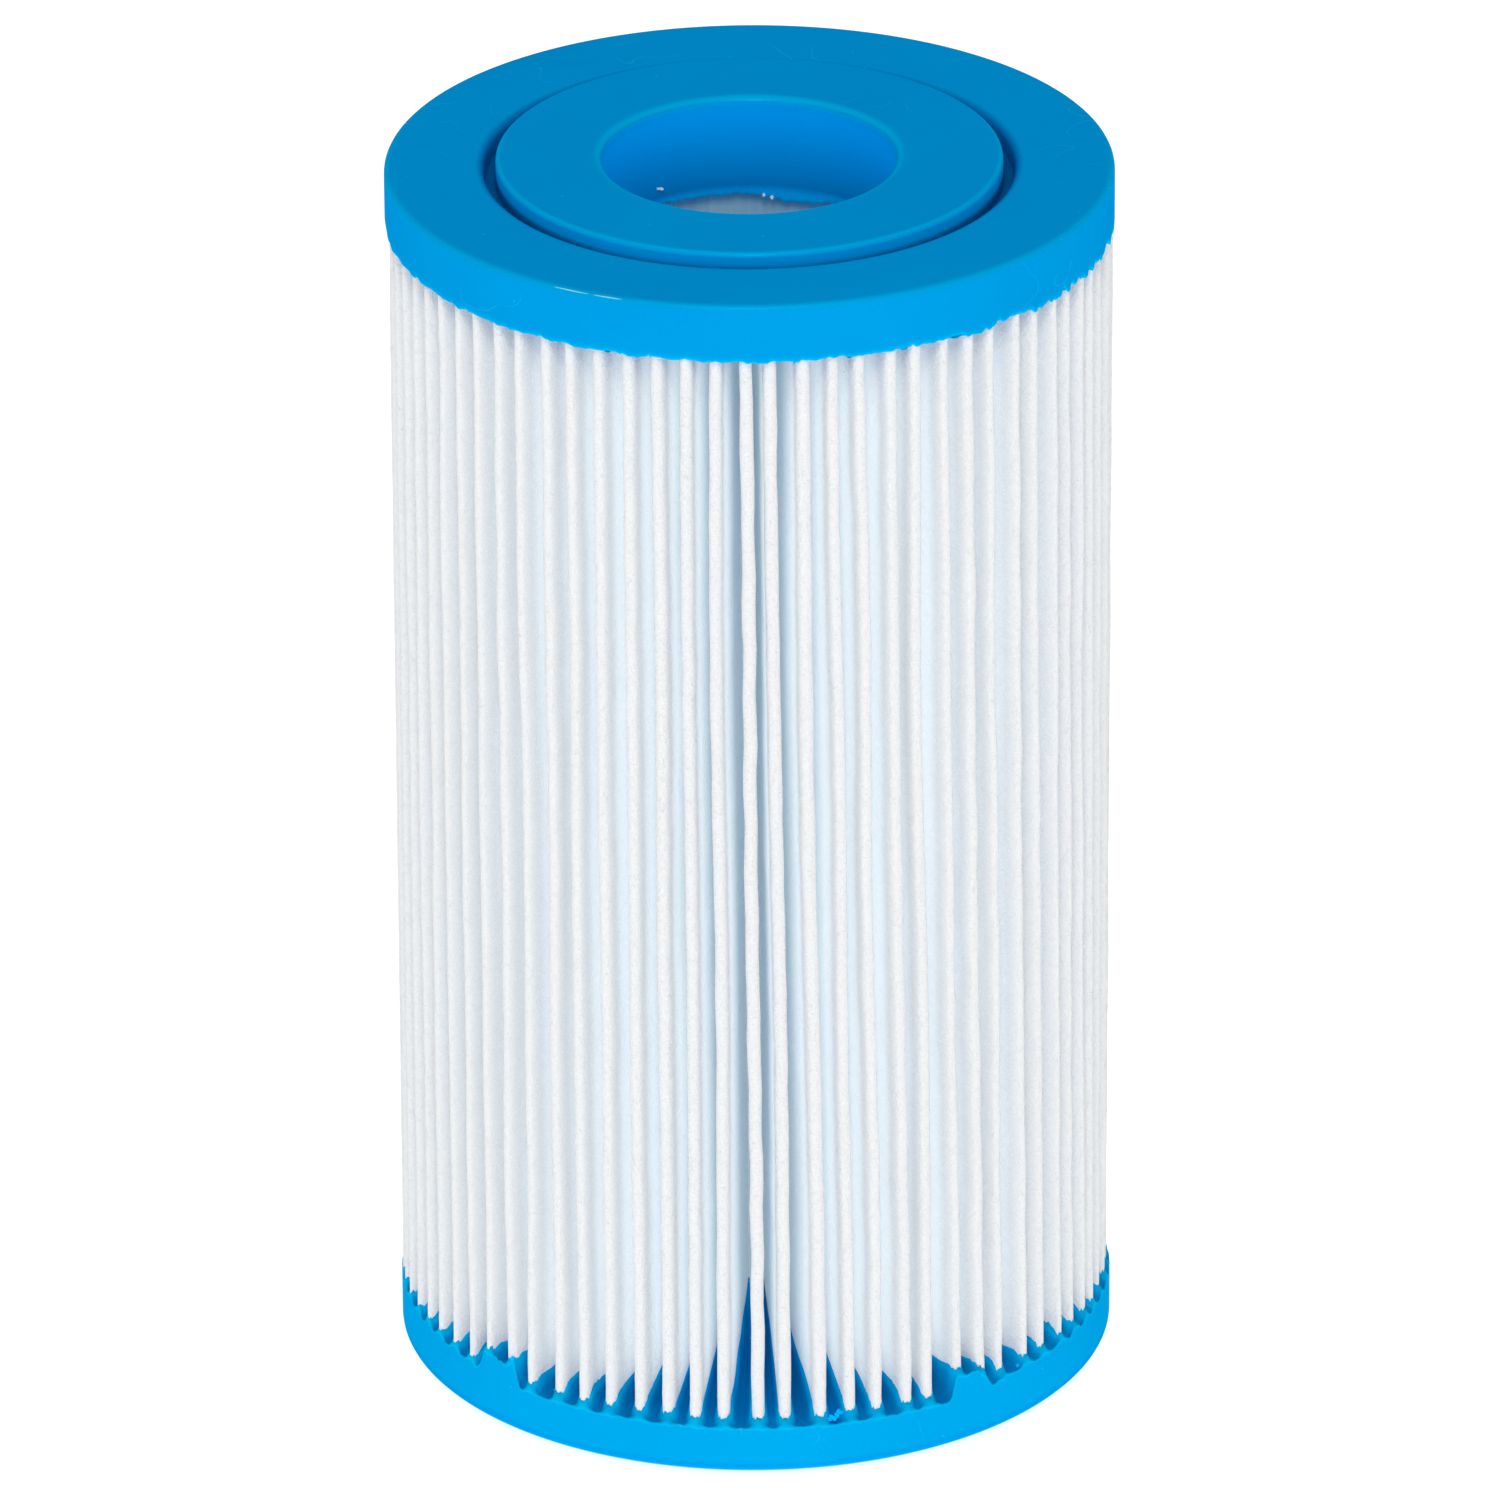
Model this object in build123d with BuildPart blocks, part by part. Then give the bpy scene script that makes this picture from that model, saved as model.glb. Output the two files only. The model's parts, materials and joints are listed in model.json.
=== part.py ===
"""Pleated filter cartridge for a pool or spa pump, open at both ends.

One sheet of nonwoven is folded into a ring of pleats round a slotted core. Its two ends are
bonded by a bead, and all of them are cast into a flexible end cap at the top and the bottom.

Millimetres, +Z up along the cartridge. The origin is the middle of the face that it stands on.
"""

import os
from math import cos, pi, sin, sqrt

from build123d import *

# End caps, cast in one mould shape. Depths are measured from a cap's raised disc.
cap_radius = 54.0
ring_to_ring = 190.0            # between the flat outer rings of the two caps
disc_radius = 37.5
disc_rise = 1.3                 # the disc stands this far proud of the outer ring
groove_width = 1.7
groove_depth = 3.0              # below the outer ring
bore_radius = 21.8
bore_depth = 14.6
top_skirt = 9.0                 # height of the outer wall
bottom_skirt = 7.5
rim_fillet = 1.0
disc_fillet = 0.8
groove_fillet = 1.3
bore_fillet = 1.3

# Core tube
core_inner_radius = 24.0
core_outer_radius = 26.0
window_width = 7.0
window_height = 11.0
window_corner = 1.5
window_rows = 10
window_pitch = 15.0
window_columns = 12             # an even number: each cut makes two windows, on opposite sides

# Pleated sheet
pleat_count = 75                # odd, so that one tip faces -Y and the seam's valley faces +Y
media_thickness = 0.5
pack_inner_radius = 26.3
pack_outer_radius = 53.3
tip_radius = 0.7                # of the fold at a pleat's tip, at the middle of the sheet
root_radius = 0.35              # of the fold at a pleat's root, at the middle of the sheet
potted_ends = 3.8               # from the outer ring down to the ends of the sheet and the core
seam_bead_width = 7.0

# Worked out from these
overall_height = ring_to_ring + 2 * disc_rise
pack_bottom = disc_rise + potted_ends
pack_height = overall_height - 2 * pack_bottom
half_thickness = media_thickness / 2
pleat_pitch = 2 * pi / pleat_count
seam_angle = pi / 2
tip_centre_radius = pack_outer_radius - tip_radius - half_thickness
root_centre_radius = pack_inner_radius + root_radius + half_thickness
groove_radius = disc_radius + groove_width
match = 0.01                    # how closely an edge is looked up by its place


def polar(radius, angle):
    """The point at this radius and angle (in radians) in a plane across the cartridge."""
    return Vector(radius * cos(angle), radius * sin(angle))


def leg(tip, root, side, offset):
    """One flat leg of a pleat, from its tip's fold to its root's fold, on one face of the sheet.

    tip and root are the centres of the two folds. side is 1 on the leg that follows the tip
    anticlockwise and -1 on the leg before it. offset is the distance from the middle of the
    sheet, positive on the face that is outermost at the tips.
    """
    between = root - tip
    along = between.normalized()
    across = Vector(-along.Y, along.X) * side
    lean = (tip_radius + root_radius) / between.length
    normal = along * lean + across * sqrt(1 - lean**2)
    start = tip + normal * (tip_radius + offset)
    end = root - normal * (root_radius - offset)
    return start, end


def sheet_face(offset):
    """Ends and fold middles of every leg on one face of the sheet, in order round the pack."""
    stretches = []
    for pleat in range(pleat_count):
        root_before = seam_angle + pleat * pleat_pitch
        tip_angle = root_before + pleat_pitch / 2
        root_after = root_before + pleat_pitch
        tip = polar(tip_centre_radius, tip_angle)
        out_start, out_end = leg(tip, polar(root_centre_radius, root_before), 1, offset)
        in_start, in_end = leg(tip, polar(root_centre_radius, root_after), -1, offset)
        tip_middle = polar(tip_centre_radius + tip_radius + offset, tip_angle)
        root_middle = polar(root_centre_radius - root_radius + offset, root_after)
        stretches.append((out_end, out_start, tip_middle, in_start, in_end, root_middle))
    return stretches


def draw_sheet_face(stretches):
    """Draws one face of the sheet as lines and fold arcs, in the line builder that is open."""
    for pleat, (out_end, out_start, tip_middle, in_start, in_end, root_middle) in enumerate(stretches):
        Line(out_end, out_start)
        ThreePointArc(out_start, tip_middle, in_start)
        Line(in_start, in_end)
        if pleat + 1 < pleat_count:
            ThreePointArc(in_end, root_middle, stretches[pleat + 1][0])


def make_media():
    """The one sheet, folded into pleats and closed into a ring by the seam."""
    outer_face = sheet_face(half_thickness)
    inner_face = sheet_face(-half_thickness)
    with BuildPart() as media:
        with BuildSketch(Plane.XY.offset(pack_bottom)):
            with BuildLine():
                draw_sheet_face(outer_face)
                draw_sheet_face(inner_face)
                for end in (outer_face[0][0], inner_face[0][0]), (outer_face[-1][4], inner_face[-1][4]):
                    Line(*end)
            make_face()
        extrude(amount=pack_height)
    media.part.label = "pleated_media"
    return media.part


def make_seam():
    """The bead between the sheet's first and last legs, in the valley where they meet."""
    outer_face = sheet_face(half_thickness)
    first_end, first_start = outer_face[0][:2]
    last_start, last_end = outer_face[-1][3:5]
    first_far = first_end + (first_start - first_end).normalized() * seam_bead_width
    last_far = last_end + (last_start - last_end).normalized() * seam_bead_width
    with BuildPart() as seam:
        with BuildSketch(Plane.XY.offset(pack_bottom)):
            with BuildLine():
                Polyline(first_end, first_far, last_far, last_end, close=True)
            make_face()
        extrude(amount=pack_height)
    seam.part.label = "media_seam"
    return seam.part


def make_core():
    """The tube that holds the pleats up, with rows of windows that let the water through."""
    with BuildPart() as core:
        with BuildSketch(Plane.XY.offset(pack_bottom)):
            Circle(core_outer_radius)
            Circle(core_inner_radius, mode=Mode.SUBTRACT)
        extrude(amount=pack_height)
        for column in range(window_columns // 2):
            turn = column * 2 * pi / window_columns
            middle = Plane((0, 0, overall_height / 2), x_dir=polar(1, turn), z_dir=polar(1, turn - pi / 2))
            with BuildSketch(middle):
                with GridLocations(window_pitch, window_pitch, 1, window_rows):
                    RectangleRounded(window_width, window_height, window_corner)
            extrude(amount=2 * core_outer_radius, both=True, mode=Mode.SUBTRACT)
    core.part.label = "core_tube"
    return core.part


def make_cap(name, profile_plane, skirt, cast_in):
    """One end cap. In its profile plane X is the radius and Y the depth from the raised disc.

    cast_in are the pieces whose ends the cap is cast round.
    """
    ring_face = disc_rise
    groove_floor = disc_rise + groove_depth
    skirt_edge = disc_rise + skirt
    with BuildPart() as cap:
        with BuildSketch(profile_plane) as profile:
            with BuildLine():
                Polyline(
                    (bore_radius, 0),
                    (disc_radius, 0),
                    (disc_radius, groove_floor),
                    (groove_radius, groove_floor),
                    (groove_radius, ring_face),
                    (cap_radius, ring_face),
                    (cap_radius, skirt_edge),
                    (core_inner_radius, skirt_edge),
                    (core_inner_radius, bore_depth),
                    (bore_radius, bore_depth),
                    close=True,
                )
            make_face()
        revolve(axis=Axis.Z)
        circles = cap.edges().filter_by(GeomType.CIRCLE)
        for radius, depth, size in (
            (bore_radius, 0, bore_fillet),
            (disc_radius, 0, disc_fillet),
            (groove_radius, ring_face, groove_fillet),
            (cap_radius, ring_face, rim_fillet),
        ):
            height = profile_plane.from_local_coords((0, depth, 0)).Z
            at_height = circles.filter_by_position(Axis.Z, height - match, height + match)
            fillet(at_height.filter_by(lambda edge: abs(edge.radius - radius) < match), radius=size)
        for piece in cast_in:
            add(piece, mode=Mode.SUBTRACT)
    cap.part.label = name
    return cap.part


media = make_media()
seam = make_seam()
core = make_core()

top_plane = Plane(origin=(0, 0, overall_height), x_dir=(1, 0, 0), z_dir=(0, 1, 0))
bottom_plane = Plane(origin=(0, 0, 0), x_dir=(1, 0, 0), z_dir=(0, -1, 0))
top_cap = make_cap("top_end_cap", top_plane, top_skirt, [media, seam, core])
bottom_cap = make_cap("bottom_end_cap", bottom_plane, bottom_skirt, [media, seam, core])

os.makedirs("parts", exist_ok=True)
for piece in (top_cap, bottom_cap, media, seam, core):
    export_step(piece, f"parts/{piece.label}.step")
    print(piece.label, round(piece.volume), "mm3,", len(piece.solids()), "solid")
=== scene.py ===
"""Looks of a pleated filter cartridge: a folded nonwoven sheet cast into two blue end caps."""

import json
import math

import bmesh
import bpy
import numpy as np
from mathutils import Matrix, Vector, kdtree


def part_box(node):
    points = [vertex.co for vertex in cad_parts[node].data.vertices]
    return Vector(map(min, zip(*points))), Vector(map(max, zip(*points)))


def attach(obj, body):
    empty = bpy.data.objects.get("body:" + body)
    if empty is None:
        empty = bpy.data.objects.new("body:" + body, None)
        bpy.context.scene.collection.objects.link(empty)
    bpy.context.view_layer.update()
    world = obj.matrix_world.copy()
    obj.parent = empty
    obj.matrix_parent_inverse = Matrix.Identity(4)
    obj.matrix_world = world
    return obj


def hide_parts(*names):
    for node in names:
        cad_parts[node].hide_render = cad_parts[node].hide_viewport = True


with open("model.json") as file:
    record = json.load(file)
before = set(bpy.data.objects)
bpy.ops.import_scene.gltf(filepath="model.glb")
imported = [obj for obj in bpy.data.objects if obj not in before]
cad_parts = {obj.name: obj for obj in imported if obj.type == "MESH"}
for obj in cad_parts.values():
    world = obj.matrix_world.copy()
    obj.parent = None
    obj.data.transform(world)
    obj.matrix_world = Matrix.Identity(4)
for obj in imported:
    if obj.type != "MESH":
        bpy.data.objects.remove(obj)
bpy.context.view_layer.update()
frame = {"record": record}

MM = 0.001
rng = np.random.default_rng(75)


# ---------------------------------------------------------------- sizes, in millimetres
def box_mm(node):
    """The lowest and the highest corner of a CAD node's box."""
    low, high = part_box(node)
    return np.array(low) / MM, np.array(high) / MM


top_bore = next(m for m in frame["record"]["mounts"] if m["name"] == "top_bore")
media_low, media_high = box_mm("pleated_media")

OVERALL = box_mm("top_end_cap")[1][2]
PACK_LOW, PACK_HIGH = media_low[2], media_high[2]
BORE_R = top_bore["dims"]["r_mm"]
BORE_FILLET = OVERALL - top_bore["pos_m"][2] / MM
BORE_DEPTH = BORE_FILLET + top_bore["dims"]["length_mm"]    # where its straight wall ends
CORE_OUT = box_mm("core_tube")[1][0]
CAP_R = 54.0
DISC_R = 37.5
DISC_RISE = 1.3
DISC_FILLET = 0.8
GROOVE_R = 39.2
GROOVE_DEPTH = 3.0
GROOVE_FILLET = 1.3
RIM_FILLET = 1.0
TOP_SKIRT = 9.0
BOTTOM_SKIRT = 7.5

PLEATS = 75
PITCH = 2 * math.pi / PLEATS
SEAM_ANGLE = math.pi / 2
SHEET_T = 0.5
TIP_R = 53.3                    # outside of the tips, under the top cap
TIP_SPREAD = 0.2                # how much further out they stand above the bottom cap
ROOT_R = 26.3                   # inside of the roots
ROOT_FOLD = 0.35
TOP_LEAN_X = 0.45               # the pack sits this far off the top cap's middle
SIDE_REACH = (0.7, 0.0, 0.1)    # how much further out the tips stand at the left, front and right
TWIST = math.radians(0.0178)    # the most that a tip leans for each millimetre further down

# How far the tips are turned at the top, in degrees, and their share of the twist, both by the
# angle from the front: the pack was cast in a little crowded just right of the front.
TURN_AT = (-180, -55, 0, 3, 60, 180)
TURN = (-1.2, -1.6, -1.1, -2.1, -2.2, -1.2)
TWIST_AT = (-180, -60, -5, 10, 60, 180)
TWIST_SHARE = (0.7, 0.35, 0.3, 0.9, 1.0, 0.7)

# The radius of the tips' folds, by the angle from the front: they opened up a little at the front.
FOLD_AT = (-180, -50, -22, 0, 22, 50, 180)
FOLD = (0.52, 0.50, 0.64, 0.72, 0.64, 0.50, 0.52)

# The unevenness of the folding. A pleat differs from the next by about UNEVEN, and wanders along
# its height by waves of (size, shortest, longest).
UNEVEN_TURN = 0.3               # degrees
UNEVEN_FOLD = 0.06
UNEVEN_REACH = 0.12
UNEVEN_ROOT = 0.22
UNEVEN_BOW = 0.09
SLOW_TIP_WAVES = (0.13, 60, 190)
QUICK_TIP_WAVES = (0.05, 10, 24)
FOLD_WAVES = (0.05, 9, 30)
REACH_WAVES = (0.07, 12, 60)
ROOT_WAVES = (0.10, 60, 200)
BOW_WAVES = (0.12, 50, 180)
BOW = -0.12                     # how far a leg bends out at its middle, below 0 for inwards
BOW_LIMITS = (-0.42, 0.5)
RIM_GAP = 0.1                   # the tips stay at least this far inside the caps' radius


# ---------------------------------------------------------------- mesh helpers
def new_object(name, vertices_mm, faces):
    """A smooth-shaded object of the scene."""
    mesh = bpy.data.meshes.new(name)
    mesh.from_pydata((np.asarray(vertices_mm) * MM).tolist(), [], faces)
    mesh.validate()
    mesh.update()
    mesh.shade_smooth()
    obj = bpy.data.objects.new(name, mesh)
    bpy.context.scene.collection.objects.link(obj)
    return obj


def store(obj, name, values):
    """Keeps one number per vertex on the mesh, for its material to read."""
    layer = obj.data.attributes.new(name, "FLOAT", "POINT")
    layer.data.foreach_set("value", np.asarray(values, dtype=np.float32).ravel())


def grid_faces(rows, columns, close_rows=False, flip=False):
    """Quads of a grid whose columns close into a ring."""
    faces = []
    for row in range(rows if close_rows else rows - 1):
        here = row * columns
        there = (row + 1) % rows * columns
        for column in range(columns):
            following = (column + 1) % columns
            quad = (here + column, here + following, there + following, there + column)
            faces.append(quad[::-1] if flip else quad)
    return faces


def tube_faces(rows, columns, first=0):
    """Faces of a tube whose two ends are closed. Its vertices start at first."""
    faces = grid_faces(rows, columns)
    faces.append(tuple(range(columns))[::-1])
    faces.append(tuple((rows - 1) * columns + column for column in range(columns)))
    return [tuple(first + corner for corner in face) for face in faces]


def waves(positions, count, size, shortest, longest):
    """Smooth wandering of about this size: one column of values for each of count things."""
    terms = 4
    lengths = rng.uniform(shortest, longest, (terms, count))
    phases = rng.uniform(0, 2 * math.pi, (terms, count))
    sizes = rng.normal(0, size / math.sqrt(terms), (terms, count))
    angle = 2 * math.pi * np.asarray(positions)[:, None, None] / lengths + phases
    return (sizes * np.sin(angle)).sum(axis=1)


def ring_waves(angles, size, slowest, fastest, terms=12):
    """Smooth wandering round a ring, with between slowest and fastest bumps to the turn."""
    turns = rng.integers(slowest, fastest + 1, terms)
    phases = rng.uniform(0, 2 * math.pi, terms)
    sizes = rng.normal(0, size / math.sqrt(terms), terms)
    return (sizes * np.sin(np.outer(angles, turns) + phases)).sum(axis=1)


def from_front(angles):
    """Angles in degrees from the front, -180 to 180 and positive to the right."""
    return (np.degrees(angles) + 90 + 180) % 360 - 180


def around(angles, left, front, right):
    """A measure that changes round the cartridge. Its back is like its front."""
    side = np.sin(np.radians(from_front(angles)))
    to_left = (left - front) * np.clip(-side, 0, 1) ** 2
    to_right = (right - front) * np.clip(side, 0, 1) ** 2
    return front + to_left + to_right


def plateau(angles, start, end, rise, fall):
    """1 between two angles, easing in over rise and out over fall. All in degrees from the front."""
    front = from_front(angles)
    up = np.clip((front - start) / rise, 0, 1)
    down = np.clip((end - front) / fall, 0, 1)
    share = np.minimum(up, down)
    return share * share * (3 - 2 * share)


# ---------------------------------------------------------------- the folded sheet
SHEET_ROWS = 47
SHEET_LEG_STEPS = 2
sheet_heights = np.linspace(PACK_LOW, PACK_HIGH, SHEET_ROWS)


def pleat_wander():
    """Where each pleat's tip and root stand at every height, with the unevenness of real folding."""
    drop = (PACK_HIGH - sheet_heights)[:, None]
    order = np.arange(PLEATS)
    even = SEAM_ANGLE + PITCH / 2 + order * PITCH
    front = from_front(even)
    turned = np.radians(np.interp(front, TURN_AT, TURN) + rng.normal(0, UNEVEN_TURN, PLEATS))
    tip_angle = even + turned + TWIST * np.interp(front, TWIST_AT, TWIST_SHARE) * drop
    tip_angle = tip_angle + waves(sheet_heights, PLEATS, *SLOW_TIP_WAVES) / TIP_R
    tip_angle = tip_angle + waves(sheet_heights, PLEATS, *QUICK_TIP_WAVES) / TIP_R
    fold = np.interp(front, FOLD_AT, FOLD) + rng.normal(0, UNEVEN_FOLD, PLEATS)
    fold = fold + waves(sheet_heights, PLEATS, *FOLD_WAVES)
    reach = TIP_R + TIP_SPREAD * drop / (PACK_HIGH - PACK_LOW)
    reach = reach - np.abs(rng.normal(0, UNEVEN_REACH, PLEATS))
    reach = reach + waves(sheet_heights, PLEATS, *REACH_WAVES) + around(even, *SIDE_REACH)
    reach = np.minimum(reach, CAP_R - RIM_GAP)
    next_tip = np.roll(tip_angle, -1, axis=1) + 2 * math.pi * (order == PLEATS - 1)
    off_middle = waves(sheet_heights, PLEATS, *ROOT_WAVES) + rng.normal(0, UNEVEN_ROOT, PLEATS)
    bow = waves(sheet_heights, 2 * PLEATS, *BOW_WAVES) + rng.normal(BOW, UNEVEN_BOW, 2 * PLEATS)
    return {
        "tip_angle": tip_angle,
        "fold": fold,
        "tip_centre": reach - fold - SHEET_T / 2,
        "root_angle": (tip_angle + next_tip) / 2 + off_middle / ROOT_R,
        "bow": np.clip(bow, *BOW_LIMITS),
    }


wander = pleat_wander()


def at_height(name, height):
    """One of the pleats' measures at any height, between the rows it was drawn up for."""
    table = wander[name]
    return np.array([np.interp(height, sheet_heights, table[:, k]) for k in range(table.shape[1])])


def polar(radius, angle):
    """The points at this radius and angle (in radians) in a plane across the cartridge."""
    return np.stack([radius * np.cos(angle), radius * np.sin(angle)], axis=-1)


def sheet_section(height, face, leg_steps, tip_points=6, root_points=4):
    """The line of one face of the sheet across the cartridge, from the first end to the last.

    face is 1 for the face that is outermost at the tips and -1 for the other. Returns the points
    and, for each, how far in it lies: 0 at a tip and 1 at a root.
    """
    tip_angle = at_height("tip_angle", height)
    fold = at_height("fold", height)
    lean = TOP_LEAN_X * (height - PACK_LOW) / (PACK_HIGH - PACK_LOW)
    tip = polar(at_height("tip_centre", height), tip_angle) + [lean, 0]
    after = at_height("root_angle", height)
    before = np.roll(after, 1)
    root_centre = ROOT_R + ROOT_FOLD + SHEET_T / 2
    roots = {1: polar(root_centre, before), -1: polar(root_centre, after)}
    bow = dict(zip((1, -1), at_height("bow", height).reshape(2, PLEATS)))
    offset = face * SHEET_T / 2
    legs = {}
    for side, root in roots.items():
        between = root - tip
        span = np.linalg.norm(between, axis=1)
        along = between / span[:, None]
        across = np.stack([-along[:, 1], along[:, 0]], axis=-1) * side
        slope = (fold + ROOT_FOLD) / span
        normal = along * slope[:, None] + across * np.sqrt(1 - slope**2)[:, None]
        start = tip + normal * (fold + offset)[:, None]
        end = root - normal * (ROOT_FOLD - offset)
        legs[side] = (start, end, normal, bow[side])

    def leg_point(side, share):
        start, end, normal, bent = legs[side]
        return start + (end - start) * share + normal * (bent * math.sin(math.pi * share))[:, None]

    def turn(start_way, end_way, points, sign):
        """Directions round a fold, from one leg's tangent to the other's."""
        first = np.arctan2(start_way[:, 1], start_way[:, 0])
        swing = np.arctan2(end_way[:, 1], end_way[:, 0]) - first
        swing = np.where(sign * swing < 0, swing + sign * 2 * math.pi, swing)
        return [first + swing * step for step in np.linspace(0, 1, points)]

    columns, depths = [], []
    for share in np.linspace(1, 0, leg_steps + 2)[:-1]:
        columns.append(leg_point(1, share))
        depths.append(share)
    for way in turn(legs[1][2], legs[-1][2], tip_points, 1):
        columns.append(tip + polar(fold + offset, way))
        depths.append(0)
    for share in np.linspace(0, 1, leg_steps + 2)[1:]:
        columns.append(leg_point(-1, share))
        depths.append(share)
    last_way, next_way = -legs[-1][2], -np.roll(legs[1][2], -1, axis=0)
    for way in turn(last_way, next_way, root_points, -1)[1:-1]:
        columns.append(roots[-1] + polar(ROOT_FOLD - offset, way))
        depths.append(1)
    points = np.stack(columns, axis=1).reshape(-1, 2)
    keep = len(points) - (root_points - 2)      # the last root is open: the sheet ends there
    return points[:keep], np.tile(depths, PLEATS)[:keep]


def make_sheet():
    """The whole folded sheet as one closed skin: two faces, two potted edges and two seam ends."""
    rows = []
    for height in sheet_heights:
        outer, depth = sheet_section(height, 1, SHEET_LEG_STEPS)
        inner, _ = sheet_section(height, -1, SHEET_LEG_STEPS)
        ring = np.concatenate([outer, inner[::-1]])
        rows.append(np.column_stack([ring, np.full(len(ring), height)]))
    columns = len(rows[0])
    half = columns // 2
    faces = grid_faces(len(rows), columns, flip=True)
    top_row = (len(rows) - 1) * columns
    for step in range(half - 1):
        partner = columns - 1 - step
        faces.append((step, step + 1, partner - 1, partner))
        faces.append((top_row + partner, top_row + partner - 1, top_row + step + 1, top_row + step))
    sheet = new_object("media_sheet", np.concatenate(rows), faces)
    store(sheet, "depth", np.tile(np.concatenate([depth, depth[::-1]]), len(rows)))
    return sheet


def make_seam():
    """The bead in the valley between the sheet's two ends, squeezed out unevenly along its edge."""
    bead_steps, leg_steps = 5, 60
    bulge = 1.008
    heights = np.linspace(PACK_LOW, PACK_HIGH, 2 * SHEET_ROWS)
    squeeze = 0.27 + waves(heights, 1, 0.03, 8, 40)[:, 0]       # its share of the legs, from the roots
    rows = []
    for height, share in zip(heights, squeeze):
        outer, _ = sheet_section(height, 1, leg_steps)
        picks = np.linspace(0, int(leg_steps * share), bead_steps).astype(int)
        first, last = outer[picks], outer[::-1][picks]
        crown = (first[-1] + last[-1]) / 2 * bulge
        ring = np.concatenate([first, [crown], last[::-1]])
        rows.append(np.column_stack([ring, np.full(len(ring), height)]))
    return new_object("seam_bead", np.concatenate(rows), tube_faces(len(rows), len(rows[0])))


FIBRE_LEVELS = 1600
FIBRES_PER_LEVEL = 20
FIBRE_LENGTHS = (0.5, 2.0)
FIBRE_THICKNESS = (0.02, 0.035)         # from the middle to the corners of its triangle
FIBRE_LIFT = 0.02                       # the most that its middle stands off the sheet
FIBRE_LOOSE_END = 0.5                   # the most that its upper end does


def make_fibres():
    """Loose fibres of the nonwoven, most of them on the tips, where the folding raised them.

    Each is a closed spindle: a point, a triangle round its middle and a point.
    """
    margin = 0.5
    low, high = DISC_RISE + BOTTOM_SKIRT + margin, OVERALL - DISC_RISE - TOP_SKIRT - margin
    count = FIBRES_PER_LEVEL
    vertices = []
    for height in rng.uniform(low, high, FIBRE_LEVELS):
        line, depth = sheet_section(height, 1, leg_steps=12)
        weight = np.exp(-depth[:-1] / 0.07) + 0.03
        pick = rng.choice(len(line) - 1, count, p=weight / weight.sum())
        step = line[pick + 1] - line[pick]
        spot = line[pick] + step * rng.random((count, 1))
        run = step / np.maximum(np.linalg.norm(step, axis=1), 1e-9)[:, None]
        out = np.column_stack([run[:, 1], -run[:, 0], np.zeros(count)])
        tilt = rng.uniform(-math.pi / 2, math.pi / 2, count)
        way = np.column_stack([run * np.sin(tilt)[:, None], np.cos(tilt)])
        across = np.cross(way, out)
        length = rng.uniform(*FIBRE_LENGTHS, count) * (1 - 0.6 * np.abs(np.sin(tilt)))
        half = way * (length / 2)[:, None]
        lifted = out * rng.uniform(0.0, FIBRE_LIFT, (count, 1))
        middle = np.column_stack([spot, np.full(count, height)]) + lifted
        bent = middle + across * (rng.normal(0, 0.08, count) * length)[:, None]
        loose = out * (rng.random(count) ** 8 * FIBRE_LOOSE_END)[:, None]
        thick = rng.uniform(*FIBRE_THICKNESS, (count, 1))
        ring = [
            bent + (out * math.cos(turn) + across * math.sin(turn)) * thick
            for turn in (0, 2 * math.pi / 3, 4 * math.pi / 3)
        ]
        corners = [middle - half, *ring, middle + half + loose]
        vertices.append(np.stack(corners, axis=1).reshape(-1, 3))
    vertices = np.concatenate(vertices)
    faces = []
    for first in range(0, len(vertices), 5):
        for here, there in ((1, 2), (2, 3), (3, 1)):
            faces.append((first, first + there, first + here))
            faces.append((first + 4, first + here, first + there))
    return new_object("loose_fibres", vertices, faces)


# ---------------------------------------------------------------- the cast end caps
# Depths in a cap are measured from its raised disc towards the middle of the cartridge. A row of its
# mesh is its radius, its depth
# and three values for its material: how pale it is, where the casting runs out thinner and where
# highlights are painted on; how much painted shade it gets; and how much painted glow.
CAP_SAMPLES = 14                # columns for each pleat
TIP_CROWDING = 0.55             # 0 would space them evenly, and towards 1 they crowd at the tips
FLASH_DEPTH = 1.4               # how far the flash hangs below the bore's wall
FLASH_ROWS = ((24.1, 0.7), (23.4, 0.95), (22.7, 1.0), (22.3, 0.9), (22.05, 0.65), (21.9, 0.3))
SKIRT_ROWS = ((0.12, 0), (0.3, 0), (0.5, 0), (0.7, 0), (0.88, 0), (0.96, 0.25))
SURFACE_R = np.concatenate([
    [54.0, 53.97, 53.88, 53.72, 53.5], np.linspace(53.2, 50, 8), np.linspace(49.2, 27, 17), [CORE_OUT],
])
# Painted highlight along the rim's crest, on the free surface's first rows.
SURFACE_EDGE_HIGHLIGHT = (0.8, 0.7, 0.4)     # of the free surface's first rows
DRAWN_UP = 6.2                  # how much higher the casting stands at the core than at the rim
SHRUNK_BACK = 1.3               # how much lower it stands in the valleys just inside the rim
WETTING_REACH = 0.6


def arc(centre_r, centre_depth, radius, start, end, points):
    """Rows of (radius, depth) round a fillet. Angles in degrees: 0 is outwards, 90 is deeper."""
    return [
        (centre_r + radius * math.cos(a), centre_depth + radius * math.sin(a))
        for a in np.radians(np.linspace(start, end, points))
    ]


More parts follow.
